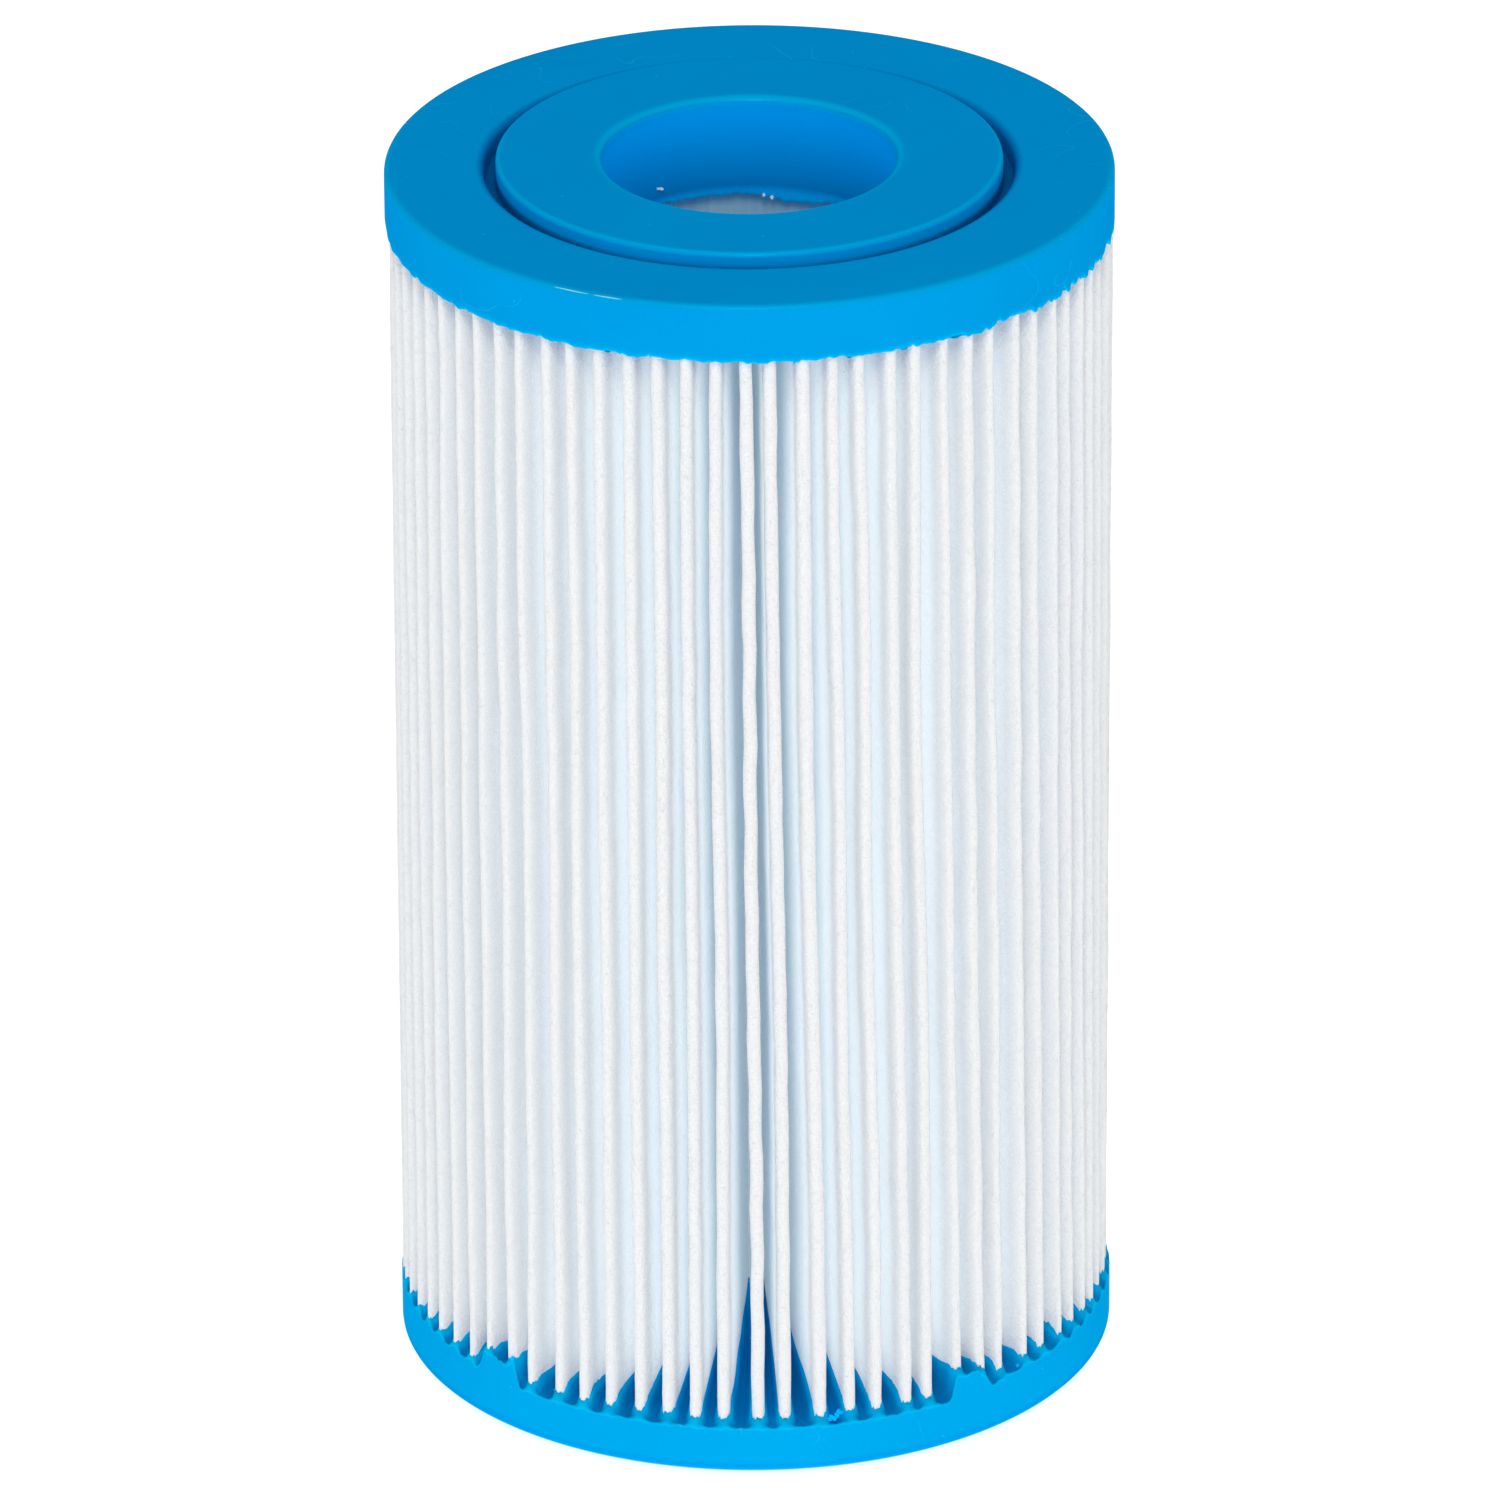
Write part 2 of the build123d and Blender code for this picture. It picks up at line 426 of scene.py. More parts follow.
def cap_profile():
    """Rows of (radius, depth) over the moulded faces, from the bore's wall out to the skirt."""
    floor = DISC_RISE + GROOVE_DEPTH
    rows = [(BORE_R, depth) for depth in np.linspace(BORE_DEPTH - 0.5, BORE_FILLET + 1.0, 8)]
    rows += arc(BORE_R + BORE_FILLET, BORE_FILLET, BORE_FILLET, 180, 270, 8)
    first, last = BORE_R + BORE_FILLET + 0.8, DISC_R - DISC_FILLET - 0.5
    rows += [(radius, 0) for radius in np.linspace(first, last, 7)]
    rows += arc(DISC_R - DISC_FILLET, DISC_FILLET, DISC_FILLET, 270, 360, 6)
    rows += [(DISC_R, floor - up) for up in (2.4, 1.7, 0.9)]
    rows += [(DISC_R + 0.05, floor - 0.25), (DISC_R + 0.3, floor)]
    rows += [(GROOVE_R - 0.3, floor), (GROOVE_R - 0.05, floor - 0.25)]
    rows += arc(GROOVE_R + GROOVE_FILLET, DISC_RISE + GROOVE_FILLET, GROOVE_FILLET, 180, 270, 7)
    first, last = GROOVE_R + GROOVE_FILLET + 0.7, CAP_R - RIM_FILLET - 0.4
    rows += [(radius, DISC_RISE) for radius in np.linspace(first, last, 7)]
    rows += arc(CAP_R - RIM_FILLET, DISC_RISE + RIM_FILLET, RIM_FILLET, 270, 360, 6)
    return rows


# Painted highlights: the middles of the bore's, the disc's and the rim's fillets are painted paler, as
# (radius, depth, reach, how much).
PAINTED_HIGHLIGHT_EDGES = (
    (BORE_R + 0.3 * BORE_FILLET, 0.3 * BORE_FILLET, 1.1, 0.9),
    (DISC_R - 0.3 * DISC_FILLET, 0.3 * DISC_FILLET, 0.6, 0.8),
    (CAP_R - 0.3 * RIM_FILLET, DISC_RISE + 0.3 * RIM_FILLET, 0.8, 0.45),
)


def painted_highlight_at(radius, depth):
    """How much painted highlight a point of the moulded faces gets."""
    highlight = 0.0
    for edge_r, edge_depth, reach, brightening in PAINTED_HIGHLIGHT_EDGES:
        away = math.hypot(radius - edge_r, depth - edge_depth)
        highlight = max(highlight, brightening * max(0.0, 1 - away / reach))
    return highlight


def light_at(radius, depth):
    """How much painted shade a point of the moulded faces gets, and how much painted glow."""
    if radius < BORE_R + 0.1:
        # Down the bore: painted shade deepening towards its lower end, and a painted glow strongest
        # near its top.
        down = max(0.0, (depth - 3) / (BORE_DEPTH - 3))
        return 0.40 * down, min(1.0, depth / 1.6) * (1 - 0.8 * down)
    if not DISC_R - 0.1 < radius < GROOVE_R + GROOVE_FILLET:
        return 0.0, 0.0
    # In the groove: a painted glow on the disc's edge, and painted shade deeper down and on the outer
    # fillet.
    glow = 0.45 if radius < DISC_R + 0.02 and depth < 2.2 else 0.0
    shade = 0.85 * min(1.0, max(0.0, (depth - 1.9) / 1.2))
    if radius > GROOVE_R:
        shade = max(shade, 0.7 * (1 - (radius - GROOVE_R) / GROOVE_FILLET))
    return shade, glow


def moulded_rows(angles):
    """Rows of the moulded faces: the flash in the bore, then the profile out to the rim."""
    flash = FLASH_DEPTH + ring_waves(angles, 0.35, 3, 12)
    flash = flash + np.abs(ring_waves(angles, 0.25, 15, 70, 14))
    ripple = ring_waves(angles, 0.05, 3, 11)
    rows = []
    for radius, share in FLASH_ROWS:
        thin_and_highlight = min(1.0, 1.3 * share)
        # The flash is paler where it is thinner, and gets a painted glow.
        rows.append((np.full_like(angles, radius), BORE_DEPTH + flash * share, thin_and_highlight, 0.0, 0.5))
    for radius, depth in cap_profile():
        swell = ripple * (0.6 if depth > BORE_FILLET else 0.25) * (radius < 30)
        place = radius + swell, np.full_like(angles, depth)
        rows.append((*place, painted_highlight_at(radius, depth), *light_at(radius, depth)))
    return rows


def skirt_rows(edge_depth, pale):
    """Rows of the outer wall, from the rim's fillet to the free edge at edge_depth."""
    first = DISC_RISE + RIM_FILLET
    wall = np.full_like(edge_depth, CAP_R)
    return [
        (wall, first + (edge_depth - first) * share, max(thin_and_highlight, pale), 0.0, 0.0)
        for share, thin_and_highlight in SKIRT_ROWS
    ]


def distance_to_sheet(points, height):
    """How far each point across the cartridge is from the nearest face of the sheet."""
    line = np.concatenate([
        sheet_section(height, face, leg_steps=200, tip_points=24)[0] for face in (1, -1)
    ])
    tree = kdtree.KDTree(len(line))
    for index, (x, y) in enumerate(line):
        tree.insert((x, y, 0), index)
    tree.balance()
    away = [tree.find((x, y, 0))[2] for x, y in points.reshape(-1, 2)]
    return np.array(away).reshape(points.shape[:-1])


def potting_rise(radii, close, inward, climb, rim_share, rim_reach):
    """How far the casting crept up the sheet, for each point across the cartridge.

    It wets the sheet, so it stands high against it and falls away within a millimetre, and it
    was drawn further up where the valleys narrow towards the core. Just inside the rim it shrank
    back. close is 1 against the sheet, and 0 far from it.
    """
    inward_share = np.clip((TIP_R - radii) / (TIP_R - ROOT_R), 0, 1)
    wetting = rim_share + (1 - rim_share) * np.clip((CAP_R - radii) / rim_reach, 0, 1)
    inside = np.clip((CAP_R - 0.2 - radii) / 0.4, 0, 1)
    shrunk = SHRUNK_BACK * (1 - close) * inside * (1 - inward_share) ** 4
    up_the_side = 0.7 + 0.65 * np.clip((TIP_R - radii) / 1.3, 0, 1)
    return climb * up_the_side * wetting * close + inward * inward_share**1.1 - shrunk


def free_surface(
    angles, share, height, level, lumps, heap_reach, climb, rim_share, rim_reach, scallop, ragged_size,
):
    """Radii and depths of the casting's free surface, and how close the sheet is, all row by row.

    share is how far a column is from one tip to the next. lumps are (start, end, rise, fall,
    extra): where the casting stands extra mm higher at the rim, in degrees from the front, falling
    off within heap_reach. climb is how far it wetted the sheet. At the rim it did so by rim_share
    of that, within rim_reach, and stands higher at the tips than between them by scallop.
    rim_share, scallop and ragged_size are given at the left, the front and the right.
    """
    slid = np.repeat(rng.normal(0, 0.10, PLEATS), CAP_SAMPLES)
    tall = np.repeat(rng.normal(1, 0.6, PLEATS), CAP_SAMPLES)
    inward = DRAWN_UP * np.repeat(np.clip(rng.normal(1, 0.4, PLEATS), 0.45, 2.0), CAP_SAMPLES)
    size = around(angles, *ragged_size)
    uneven = ring_waves(angles, 0.10, 2, 9) + ring_waves(angles, 1.2, 20, 60) * size
    rough = ring_waves(angles, 1.0, 60, 150, 20) + ring_waves(angles, 1.0, 150, 300, 20)
    heap = sum(extra * plateau(angles, *stretch) for *stretch, extra in lumps)
    tipward = tall * np.cos(2 * math.pi * (share + slid))
    ragged = rough * size * (1 + np.clip(heap - 1, 0, 1.5))
    ragged = ragged + tipward * around(angles, *scallop) * np.clip(1.3 - heap / 3, 0, 1)

    radii = np.repeat(SURFACE_R[:, None], len(angles), axis=1)
    from_rim = CAP_R - radii
    close = np.exp(-distance_to_sheet(polar(radii, angles[None, :]), height) / WETTING_REACH)
    rise = potting_rise(radii, close, inward, climb, around(angles, *rim_share), rim_reach)
    near_rim = np.exp(-from_rim / 1.2)
    edge_round = 0.30 * np.clip(1 - from_rim / 0.5, 0, 1) ** 2
    depths = level + rise + heap * np.exp(-from_rim / heap_reach)
    depths = depths + (uneven + ragged) * near_rim + uneven * 0.4 * (1 - near_rim) - edge_round
    return radii, depths, close


def surface_rows(radii, depths, close):
    """Rows of the free surface, from the rim in to the core and then under it to the bore."""
    edges = np.zeros(len(radii))
    edges[:len(SURFACE_EDGE_HIGHLIGHT)] = SURFACE_EDGE_HIGHLIGHT
    rows = []
    for radius, depth, near, edge in zip(radii, depths, close, edges):
        # Paler where the casting runs up the sheet thinner, and a painted highlight along the rim's
        # crest.
        thin_and_highlight = 0.9 * near * np.exp(-(CAP_R - radius) / 6) + edge
        # Painted shade: darker inwards from the rim, less so against the sheet.
        painted_shade = np.clip((CAP_R - 0.08 - radius) / 13, 0, 1) ** 0.30 * (1 - 0.9 * near)
        rows.append((radius, depth, thin_and_highlight, painted_shade, 0.0))
    # Under the core: full painted shade.
    for inside, depth in (0.6, depths[-1]), (0.8, np.full_like(depths[-1], BORE_DEPTH - 1.0)):
        rows.append((np.full_like(depth, CORE_OUT - inside), depth, 0.0, 1.0, 0.0))
    return rows


def make_cap(name, top, skirt, pale, **surface):
    """One end cap as a closed skin: moulded faces outside, the free surface of the casting inside.

    pale is how much of the thin casting's colour the outer wall has.
    """
    height = OVERALL - DISC_RISE - skirt if top else DISC_RISE + skirt
    tips = at_height("tip_angle", height)
    following = np.append(tips[1:], tips[0] + 2 * math.pi)
    even = np.arange(CAP_SAMPLES) / CAP_SAMPLES
    share = even - TIP_CROWDING * np.sin(2 * math.pi * even) / (2 * math.pi)
    angles = (tips[:, None] + (following - tips)[:, None] * share).ravel()
    radii, depths, close = free_surface(
        angles, np.tile(share, PLEATS), height, skirt + DISC_RISE, **surface,
    )
    rows = moulded_rows(angles) + skirt_rows(depths[0], pale) + surface_rows(radii, depths, close)
    vertices = [
        np.column_stack([polar(radius, angles), OVERALL - depth if top else depth])
        for radius, depth, *_ in rows
    ]
    faces = grid_faces(len(rows), len(angles), close_rows=True, flip=not top)
    cap = new_object(name, np.concatenate(vertices), faces)
    # Paleness with painted highlights, painted shade and painted glow, for the material.
    for place, attribute in enumerate(("thin_and_highlight", "painted_shade", "painted_glow"), start=2):
        values = [np.broadcast_to(row[place], angles.shape) for row in rows]
        store(cap, attribute, np.concatenate(values))
    return cap


def make_crumbs(name, spots, size):
    """Small rough crumbs, each a lumpy ball flattened a little, at spots given as (x, y, z)."""
    vertices, faces = [], []
    for spot in spots:
        crumb = bmesh.new()
        bmesh.ops.create_icosphere(crumb, subdivisions=3, radius=1)
        shape = np.array([v.co for v in crumb.verts])
        lumps = sum(np.sin(shape @ rng.normal(0, 3.2, 3) + rng.uniform(0, 6)) for _ in range(4))
        stretch = size * rng.uniform(0.6, 1.3, 3)
        faces += [tuple(v.index + len(vertices) for v in f.verts) for f in crumb.faces]
        vertices += list(np.array(spot) + shape * (1 + 0.16 * lumps)[:, None] * stretch)
        crumb.free()
    return new_object(name, vertices, faces)


def on_ring(radius, front_angle, height):
    """A point at an angle from the front, in degrees and positive to the right."""
    return (*polar(radius, math.radians(front_angle - 90)), height)


def make_rim_glint():
    """Two slender slivers along the upper cap's rim, just left of the front, coloured as a painted
    glint.
    """
    radius, height, thickness = 53.68, OVERALL - DISC_RISE - 0.32, 0.10
    steps, sides = 24, 6
    vertices, faces = [], []
    for start, end in ((-32.0, -25.8), (-25.1, -20.2)):
        faces += tube_faces(steps, sides, first=len(vertices))
        for step in range(steps):
            share = step / (steps - 1)
            thick = thickness * math.sin(math.pi * min(0.97, max(0.03, share))) ** 0.5
            x, y, _ = on_ring(radius, start + (end - start) * share, 0)
            for side in range(sides):
                turn = 2 * math.pi * side / sides
                out = 1 + thick * math.cos(turn) / radius
                vertices.append((x * out, y * out, height + thick * math.sin(turn)))
    return new_object("rim_glint_slivers", vertices, faces)


sheet = make_sheet()
seam = make_seam()
fibres = make_fibres()
top_cap = make_cap(
    "top_cap", True, TOP_SKIRT, pale=0.0,
    lumps=((-2, 4, 1.5, 1.5, 0.4), (34, 42, 3, 2, 0.8), (46, 60, 4, 4, 0.5), (-100, -78, 8, 8, -1.1)),
    heap_reach=1.0, climb=0.9, rim_share=(0.03, 0.06, 0.3), rim_reach=3.0,
    scallop=(-0.14, -0.12, 0.30), ragged_size=(0.03, 0.09, 0.24),
)
bottom_cap = make_cap(
    "bottom_cap", False, BOTTOM_SKIRT, pale=0.3,
    lumps=(
        (-52, -41, 3.5, 2.0, 3.5), (32.5, 42, 1.6, 4.5, 3.6),
        (-100, -50, 20, 6, 0.9), (40, 100, 6, 20, 0.9),
    ),
    heap_reach=5.0, climb=2.4, rim_share=(0.4, 0.06, 0.35), rim_reach=0.4,
    scallop=(0.25, 0.0, 0.22), ragged_size=(0.10, 0.08, 0.10),
)

LOWER_RIM = DISC_RISE + BOTTOM_SKIRT
CRUMB_HEIGHTS = (0.45, 0.4, 0.7, 0.5, 0.9, 1.3, 1.1)    # of a row of them, above the lower rim
crumb_spots = [
    on_ring(53.4 - 0.2 * abs(step - 3), 11.2 + 0.45 * step, LOWER_RIM + above)
    for step, above in enumerate(CRUMB_HEIGHTS)
]
crumb_spots += [on_ring(53.75, -43, LOWER_RIM + 4.3), on_ring(53.7, 47, LOWER_RIM + 1.3)]
rim_crumbs = make_crumbs("rim_crumbs", crumb_spots, 0.34)
# The crumbs are pale and get a painted glow.
for attribute in ("thin_and_highlight", "painted_glow"):
    store(rim_crumbs, attribute, np.full(len(rim_crumbs.data.vertices), 0.8))
# A painted glint on the upper cap's rim, as two pale slivers.
rim_glint = make_rim_glint()
BORE_END = OVERALL - BORE_DEPTH
# Two white lint bits at the back of the bore's flash, and two white specks on its back-left wall that
# are a painted glint.
lint_and_glint_spots = [
    on_ring(21.75, 174.4, BORE_END - 1.2), on_ring(21.7, 171.0, BORE_END - 1.5),
    on_ring(21.65, -142.5, BORE_END + 1.7), on_ring(21.7, -141.3, BORE_END + 1.9),
]
lint_and_glint = make_crumbs("bore_lint_and_glint", lint_and_glint_spots, 0.3)


# ---------------------------------------------------------------- materials
class Nodes:
    """A material's node tree, with short calls for the nodes that these materials use."""

    def __init__(self, name):
        self.material = bpy.data.materials.new(name)
        self.material.use_nodes = True
        self.tree = self.material.node_tree
        self.shader = self.tree.nodes["Principled BSDF"]

    def add(self, kind, values=(), **settings):
        node = self.tree.nodes.new(kind)
        for key, value in settings.items():
            setattr(node, key, value)
        for key, value in dict(values).items():
            node.inputs[key].default_value = value
        return node

    def link(self, source, target):
        self.tree.links.new(source, target)

    def place(self, stretch=(1, 1, 1), turn=(0, 0, 0)):
        """The object's own coordinates, turned and then made to stretch a pattern."""
        coordinates = self.add("ShaderNodeTexCoord")
        placing = {"Scale": stretch, "Rotation": turn}
        mapping = self.add("ShaderNodeMapping", placing, vector_type="TEXTURE")
        self.link(coordinates.outputs["Object"], mapping.inputs["Vector"])
        return mapping.outputs["Vector"]

    def noise(self, scale, detail=4.0, stretch=(1, 1, 1), turn=(0, 0, 0), rough=0.55):
        node = self.add("ShaderNodeTexNoise", {"Scale": scale, "Detail": detail, "Roughness": rough})
        self.link(self.place(stretch, turn), node.inputs["Vector"])
        return node.outputs["Fac"]

    def ramp(self, value, *stops):
        node = self.add("ShaderNodeValToRGB")
        elements = node.color_ramp.elements
        while len(elements) < len(stops):
            elements.new(0.5)
        for element, (position, color) in zip(elements, stops):
            element.position = position
            element.color = (*color, 1)
        self.link(value, node.inputs["Fac"])
        return node.outputs["Color"]

    def spread(self, value, low, high, start=0.0, end=1.0):
        """From low to high as the value goes from start to end."""
        node = self.add("ShaderNodeMapRange", {1: start, 2: end, 3: low, 4: high})
        self.link(value, node.inputs["Value"])
        return node.outputs["Result"]

    def math(self, operation, first, second=0.0):
        node = self.add("ShaderNodeMath", operation=operation)
        for socket, value in zip(node.inputs, (first, second)):
            if isinstance(value, (int, float)):
                socket.default_value = value
            else:
                self.link(value, socket)
        return node.outputs["Value"]

    def mix(self, share, first, second):
        node = self.add("ShaderNodeMix", data_type="RGBA")
        for name, value in ((0, share), (6, first), (7, second)):
            if isinstance(value, (int, float)):
                node.inputs[name].default_value = value
            elif isinstance(value, tuple):
                node.inputs[name].default_value = (*value, 1)
            else:
                self.link(value, node.inputs[name])
        return node.outputs[2]

    def attribute(self, name):
        return self.add("ShaderNodeAttribute", attribute_name=name).outputs["Fac"]

    def bump(self, height, strength, distance, normal=None):
        node = self.add("ShaderNodeBump", {"Strength": strength, "Distance": distance})
        self.link(height, node.inputs["Height"])
        if normal is not None:
            self.link(normal, node.inputs["Normal"])
        return node.outputs["Normal"]

    def finish(self, color, roughness, normal, **constants):
        self.link(color, self.shader.inputs["Base Color"])
        self.link(roughness, self.shader.inputs["Roughness"])
        self.link(normal, self.shader.inputs["Normal"])
        for name, value in constants.items():
            self.shader.inputs[name.replace("_", " ")].default_value = value
        return self.material


def cast_blue():
    """Rubbery blue casting: satin, cloudy in the mass, paler where it runs out thinner, with painted
    highlights on its fillets, painted shade in its hollows and a painted glow in its bore.
    """
    n = Nodes("cast_blue")
    body = n.ramp(n.noise(35, 3), (0.3, (0.0, 0.345, 0.80)), (0.7, (0.0, 0.37, 0.84)))
    # Paler where the casting runs out thinner, and painted highlights along its fillets and the rim's
    # crest.
    thin_and_highlight = n.mix(n.attribute("thin_and_highlight"), body, (0.0, 0.56, 0.98))
    # Painted shade: navy down the bore, in the groove and over the casting between the pleats.
    color = n.mix(n.spread(n.attribute("painted_shade"), 0, 0.85), thin_and_highlight, (0.0, 0.05, 0.22))
    # Hair scratches: the lines where a slow noise crosses its middle, kept in a few patches.
    crossing = n.math("ABSOLUTE", n.math("SUBTRACT", n.noise(85, 1), 0.5))
    lines = n.spread(crossing, 1, 0, 0.0, 0.0035)
    patches = n.spread(n.noise(45, 2), 0, 0.35, 0.56, 0.60)
    color = n.mix(n.math("MULTIPLY", lines, patches), color, (0.03, 0.62, 1.0))
    # Specks: the middles of a few cells.
    dots = n.add("ShaderNodeTexVoronoi", {"Scale": 190})
    n.link(n.place(), dots.inputs["Vector"])
    color = n.mix(n.spread(dots.outputs["Distance"], 0.5, 0, 0.018, 0.034), color, (0.04, 0.66, 1.0))
    roughness = n.spread(n.noise(260, 5), 0.28, 0.42, 0.35, 0.65)
    grain = n.bump(n.noise(1900, 3), 0.10, 0.0002)
    swell = n.bump(n.noise(60, 2), 0.10, 0.0008, grain)
    # Painted glow: the bore's wall, its flash, the disc's edge and the crumbs glow blue, standing in
    # for light that the casting lets through.
    n.shader.inputs["Emission Color"].default_value = (0.0, 0.34, 1.0, 1)
    n.link(n.spread(n.attribute("painted_glow"), 0, 0.28), n.shader.inputs["Emission Strength"])
    return n.finish(
        color, roughness, swell,
        Metallic=0.06, Specular_IOR_Level=0.0, Specular_Tint=(0.0, 0.5, 1.0, 1),
    )


def painted_glint_blue():
    """Painted glint: pale, smooth, bright cyan streaks for the light caught along the rim."""
    n = Nodes("painted_glint_blue")
    streaks = n.noise(800, 2, (6, 6, 1))
    color = n.ramp(streaks, (0.3, (0.20, 0.78, 0.86)), (0.7, (0.42, 0.90, 0.92)))
    roughness = n.spread(n.noise(600, 2), 0.2, 0.35)
    return n.finish(color, roughness, n.bump(streaks, 0.2, 0.0001), Specular_IOR_Level=0.5)


def nonwoven():
    """White spunbond: a felt of fine fibres lying every way, painted lightest at the tips, with painted
    shade and a cool cast into the folds and a painted glow in the valleys.
    """
    n = Nodes("nonwoven")
    strands = None
    for tilt in (0.5, -0.45, 1.25, -1.2):
        strand = n.noise(2200, 2, (1, 1, 11), (tilt, tilt * 0.8, 0.3), 0.5)
        strand = n.spread(strand, 0, 1, 0.50, 0.72)
        strands = strand if strands is None else n.math("MAXIMUM", strands, strand)
    clouds = n.noise(160, 4)
    depth = n.attribute("depth")
    # Painted shade by depth: lightest at the tips, darkest just behind them and cooler deeper in, for
    # the shade and the cool light in the folds.
    painted_shade_by_depth = n.ramp(
        depth, (0.0, (0.945, 0.957, 0.968)), (0.04, (0.865, 0.897, 0.928)), (0.10, (0.82, 0.862, 0.90)),
        (0.19, (0.885, 0.925, 0.95)), (0.60, (0.845, 0.915, 0.955)),
    )
    cloudy = n.mix(n.spread(clouds, 0.2, 0, 0.3, 0.7), painted_shade_by_depth, (0.84, 0.88, 0.92))
    grains = n.noise(3600, 2)
    grainy = n.mix(n.spread(grains, 0.35, 0, 0.32, 0.46), cloudy, (0.72, 0.77, 0.82))
    bright = n.mix(n.spread(grains, 0, 0.7, 0.56, 0.68), grainy, (0.99, 0.99, 1.0))
    color = n.mix(n.spread(strands, 0, 0.35), bright, (0.97, 0.98, 0.99))
    roughness = n.spread(strands, 0.92, 0.7)
    felt = n.bump(n.noise(2600, 3), 0.35, 0.0001)
    fibres = n.bump(strands, 0.55, 0.00016, felt)
    pillow = n.bump(clouds, 0.25, 0.0006, fibres)
    # Painted glow: the valleys glow a little, most at mid depth, standing in for light let through the
    # sheet and bounced between the pleats.
    painted_valley_glow = n.ramp(
        depth, (0.06, (0, 0, 0)), (0.13, (0.135, 0.145, 0.15)), (0.22, (0.18, 0.195, 0.205)),
        (0.38, (0.135, 0.155, 0.165)), (0.62, (0.065, 0.085, 0.10)), (0.85, (0.05, 0.07, 0.085)),
    )
    n.link(painted_valley_glow, n.shader.inputs["Emission Color"])
    n.shader.inputs["Emission Strength"].default_value = 1.0
    return n.finish(color, roughness, pillow, Sheen_Weight=0.4, Specular_IOR_Level=0.2)


def loose_fibre():
    """A single polyester filament: clear white and a little glossy."""
    n = Nodes("loose_fibre")
    color = n.ramp(n.noise(900, 2), (0.3, (0.86, 0.89, 0.92)), (0.7, (0.95, 0.96, 0.97)))
    roughness = n.spread(n.noise(1500, 2), 0.28, 0.45)
    return n.finish(color, roughness, n.bump(n.noise(4000, 2), 0.1, 0.00002), Specular_IOR_Level=0.6)


def core_painted_shade():
    """White polypropylene with faint draw lines along the tube, painted a dim blue-grey: painted shade
    and blue light for the inside of the bore.
    """
    n = Nodes("core_painted_shade")
    lines = n.noise(700, 3, (1, 1, 50))
    color = n.ramp(lines, (0.3, (0.42, 0.66, 0.75)), (0.7, (0.52, 0.76, 0.84)))
    roughness = n.spread(n.noise(300, 4), 0.38, 0.55)
    return n.finish(color, roughness, n.bump(lines, 0.2, 0.0002), Specular_IOR_Level=0.5)


def glue():
    """Hot-melt: off-white, waxy, with slow ripples from the bead."""
    n = Nodes("glue")
    ripples = n.noise(220, 3, (1, 1, 0.4))
    color = n.ramp(ripples, (0.3, (0.72, 0.70, 0.60)), (0.7, (0.84, 0.82, 0.74)))
    roughness = n.spread(n.noise(500, 3), 0.25, 0.45)
    return n.finish(color, roughness, n.bump(ripples, 0.4, 0.0004), Subsurface_Weight=0.1)


def paper_floor():
    """Plain pale studio paper. Its small glow keeps it even out to the edge of the picture;
    it stops under the cartridge, leaving a thin painted contact shadow just under its rim.
    """
    n = Nodes("studio_paper")
    mottle = n.noise(6, 3)
    color = n.ramp(mottle, (0.3, (0.58, 0.58, 0.585)), (0.7, (0.60, 0.60, 0.60)))
    roughness = n.spread(n.noise(300, 2), 0.85, 0.95)
    grain = n.bump(n.noise(900, 2), 0.05, 0.0002)
    n.shader.inputs["Emission Color"].default_value = (1, 1, 1, 1)
    away = n.add("ShaderNodeVectorMath", operation="LENGTH")
    n.link(n.place(), away.inputs[0])
    # The glow stops just inside the rim: a thin painted contact shadow.
    lit = n.spread(away.outputs["Value"], 0.0, 0.85, 0.0498, 0.0512)
    n.link(lit, n.shader.inputs["Emission Strength"])
    return n.finish(color, roughness, grain, Specular_IOR_Level=0.1)


def coat(obj, material):
    """Gives the object this one material."""
    obj.data.materials.clear()
    obj.data.materials.append(material)


blue = cast_blue()
coat(rim_glint, painted_glint_blue())
for cast in (top_cap, bottom_cap, rim_crumbs):
    coat(cast, blue)
coat(sheet, nonwoven())
filament = loose_fibre()
for loose in (fibres, lint_and_glint):
    coat(loose, filament)
coat(seam, glue())
core = bpy.data.objects["core_tube"]
for slot in core.material_slots:
    slot.material = core_painted_shade()

# ---------------------------------------------------------------- riding, replacing
for obj, node, slot in (
    (top_cap, "top_end_cap", "end_cap"),
    (bottom_cap, "bottom_end_cap", "end_cap"),
    (sheet, "pleated_media", "media"),
    (seam, "media_seam", "seam"),
):
    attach(obj, "root")
    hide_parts(node)
for obj, slot in (fibres, "media"), (lint_and_glint, "media"), (rim_crumbs, "end_cap"), (rim_glint, "end_cap"):
    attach(obj, "root")


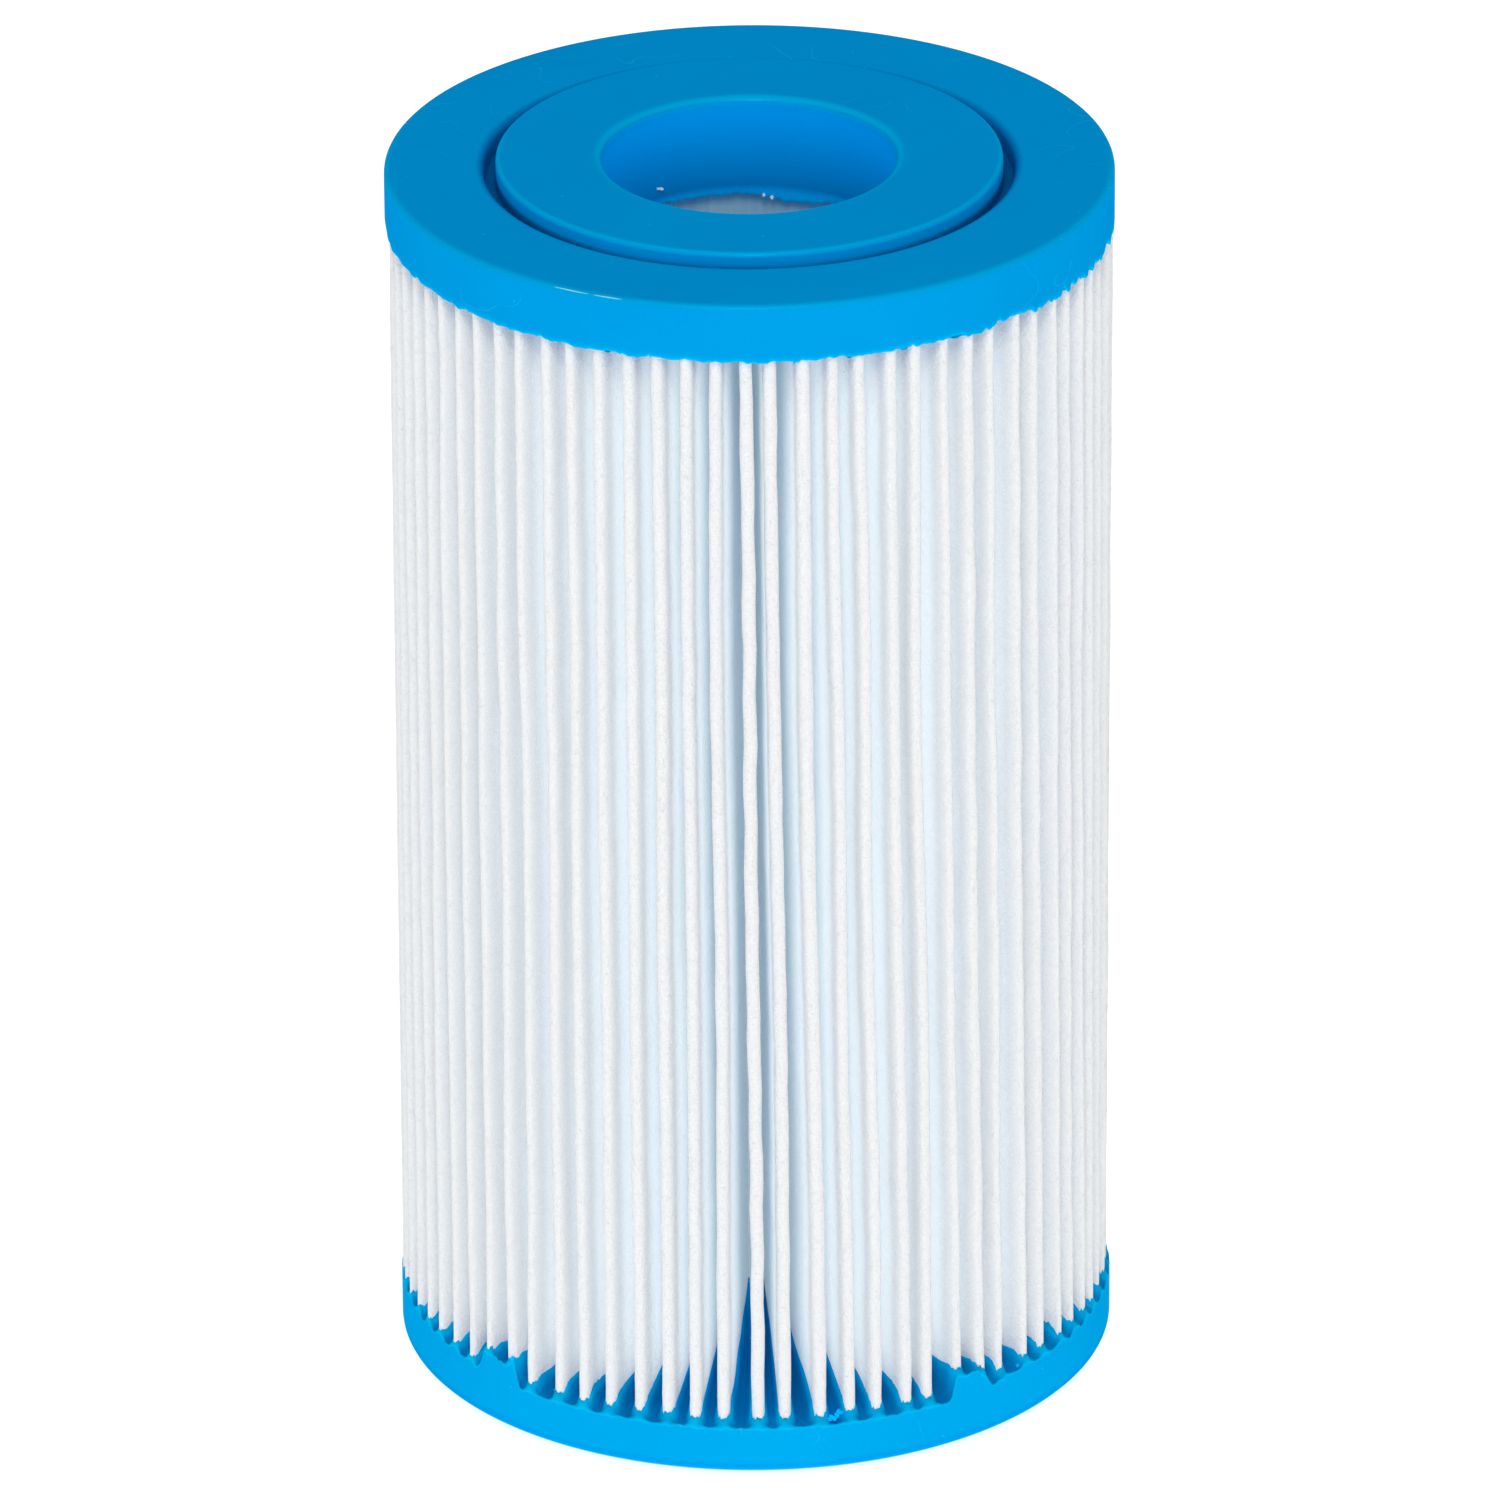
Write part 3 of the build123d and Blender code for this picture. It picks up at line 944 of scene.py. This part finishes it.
# ---------------------------------------------------------------- studio
def make_floor():
    """Paper far wider than the picture."""
    half = 6000
    corners = [(-half, -half, 0), (half, -half, 0), (half, half, 0), (-half, half, 0)]
    floor = new_object("floor", corners, [(0, 1, 2, 3)])
    coat(floor, paper_floor())


def make_lamp():
    """A softbox above the camera, for the soft shadows and the light on the upper cap."""
    light = bpy.data.lights.new("front", "AREA")
    light.shape = "RECTANGLE"
    light.size, light.size_y = 0.5, 0.9
    light.energy = 18
    position, target = Vector((-0.05, -1.72, 2.13)), Vector((0, 0, 0.1))
    lamp = bpy.data.objects.new("front", light)
    lamp.location = position
    lamp.rotation_euler = (target - position).to_track_quat("-Z", "Y").to_euler()
    bpy.context.scene.collection.objects.link(lamp)


def make_tent():
    """The light tent all round, a little weaker at the cartridge's two sides."""
    ahead, sides = 0.52, 0.28
    world = bpy.data.worlds.new("studio")
    world.use_nodes = True
    nodes, link = world.node_tree.nodes, world.node_tree.links.new
    background = nodes["Background"]
    background.inputs["Color"].default_value = (1.0, 1.0, 1.0, 1)
    toward = nodes.new("ShaderNodeTexCoord")
    split = nodes.new("ShaderNodeSeparateXYZ")
    square = nodes.new("ShaderNodeMath")
    square.operation = "MULTIPLY"
    dimming = nodes.new("ShaderNodeMapRange")
    dimming.inputs["To Min"].default_value = ahead
    dimming.inputs["To Max"].default_value = sides
    link(toward.outputs["Generated"], split.inputs[0])
    for factor in (0, 1):
        link(split.outputs["X"], square.inputs[factor])
    link(square.outputs[0], dimming.inputs["Value"])
    link(dimming.outputs["Result"], background.inputs["Strength"])
    bpy.context.scene.world = world


def make_camera():
    """Far back with a long lens, looking down at 25 degrees."""
    pitch, roll = math.radians(24.98), -0.006
    data = bpy.data.cameras.new("camera")
    data.sensor_width = 36.0
    data.lens = 368.2
    data.clip_end = 50.0
    camera = bpy.data.objects.new("camera", data)
    camera.location = (-0.000425, -2.0903, 1.0693)
    camera.rotation_euler = (math.pi / 2 - pitch, 0, 0)
    camera.rotation_euler.rotate_axis("Z", roll)
    bpy.context.scene.collection.objects.link(camera)
    bpy.context.scene.camera = camera


make_floor()
make_lamp()
make_tent()
make_camera()
bpy.context.scene.view_settings.view_transform = "Standard"
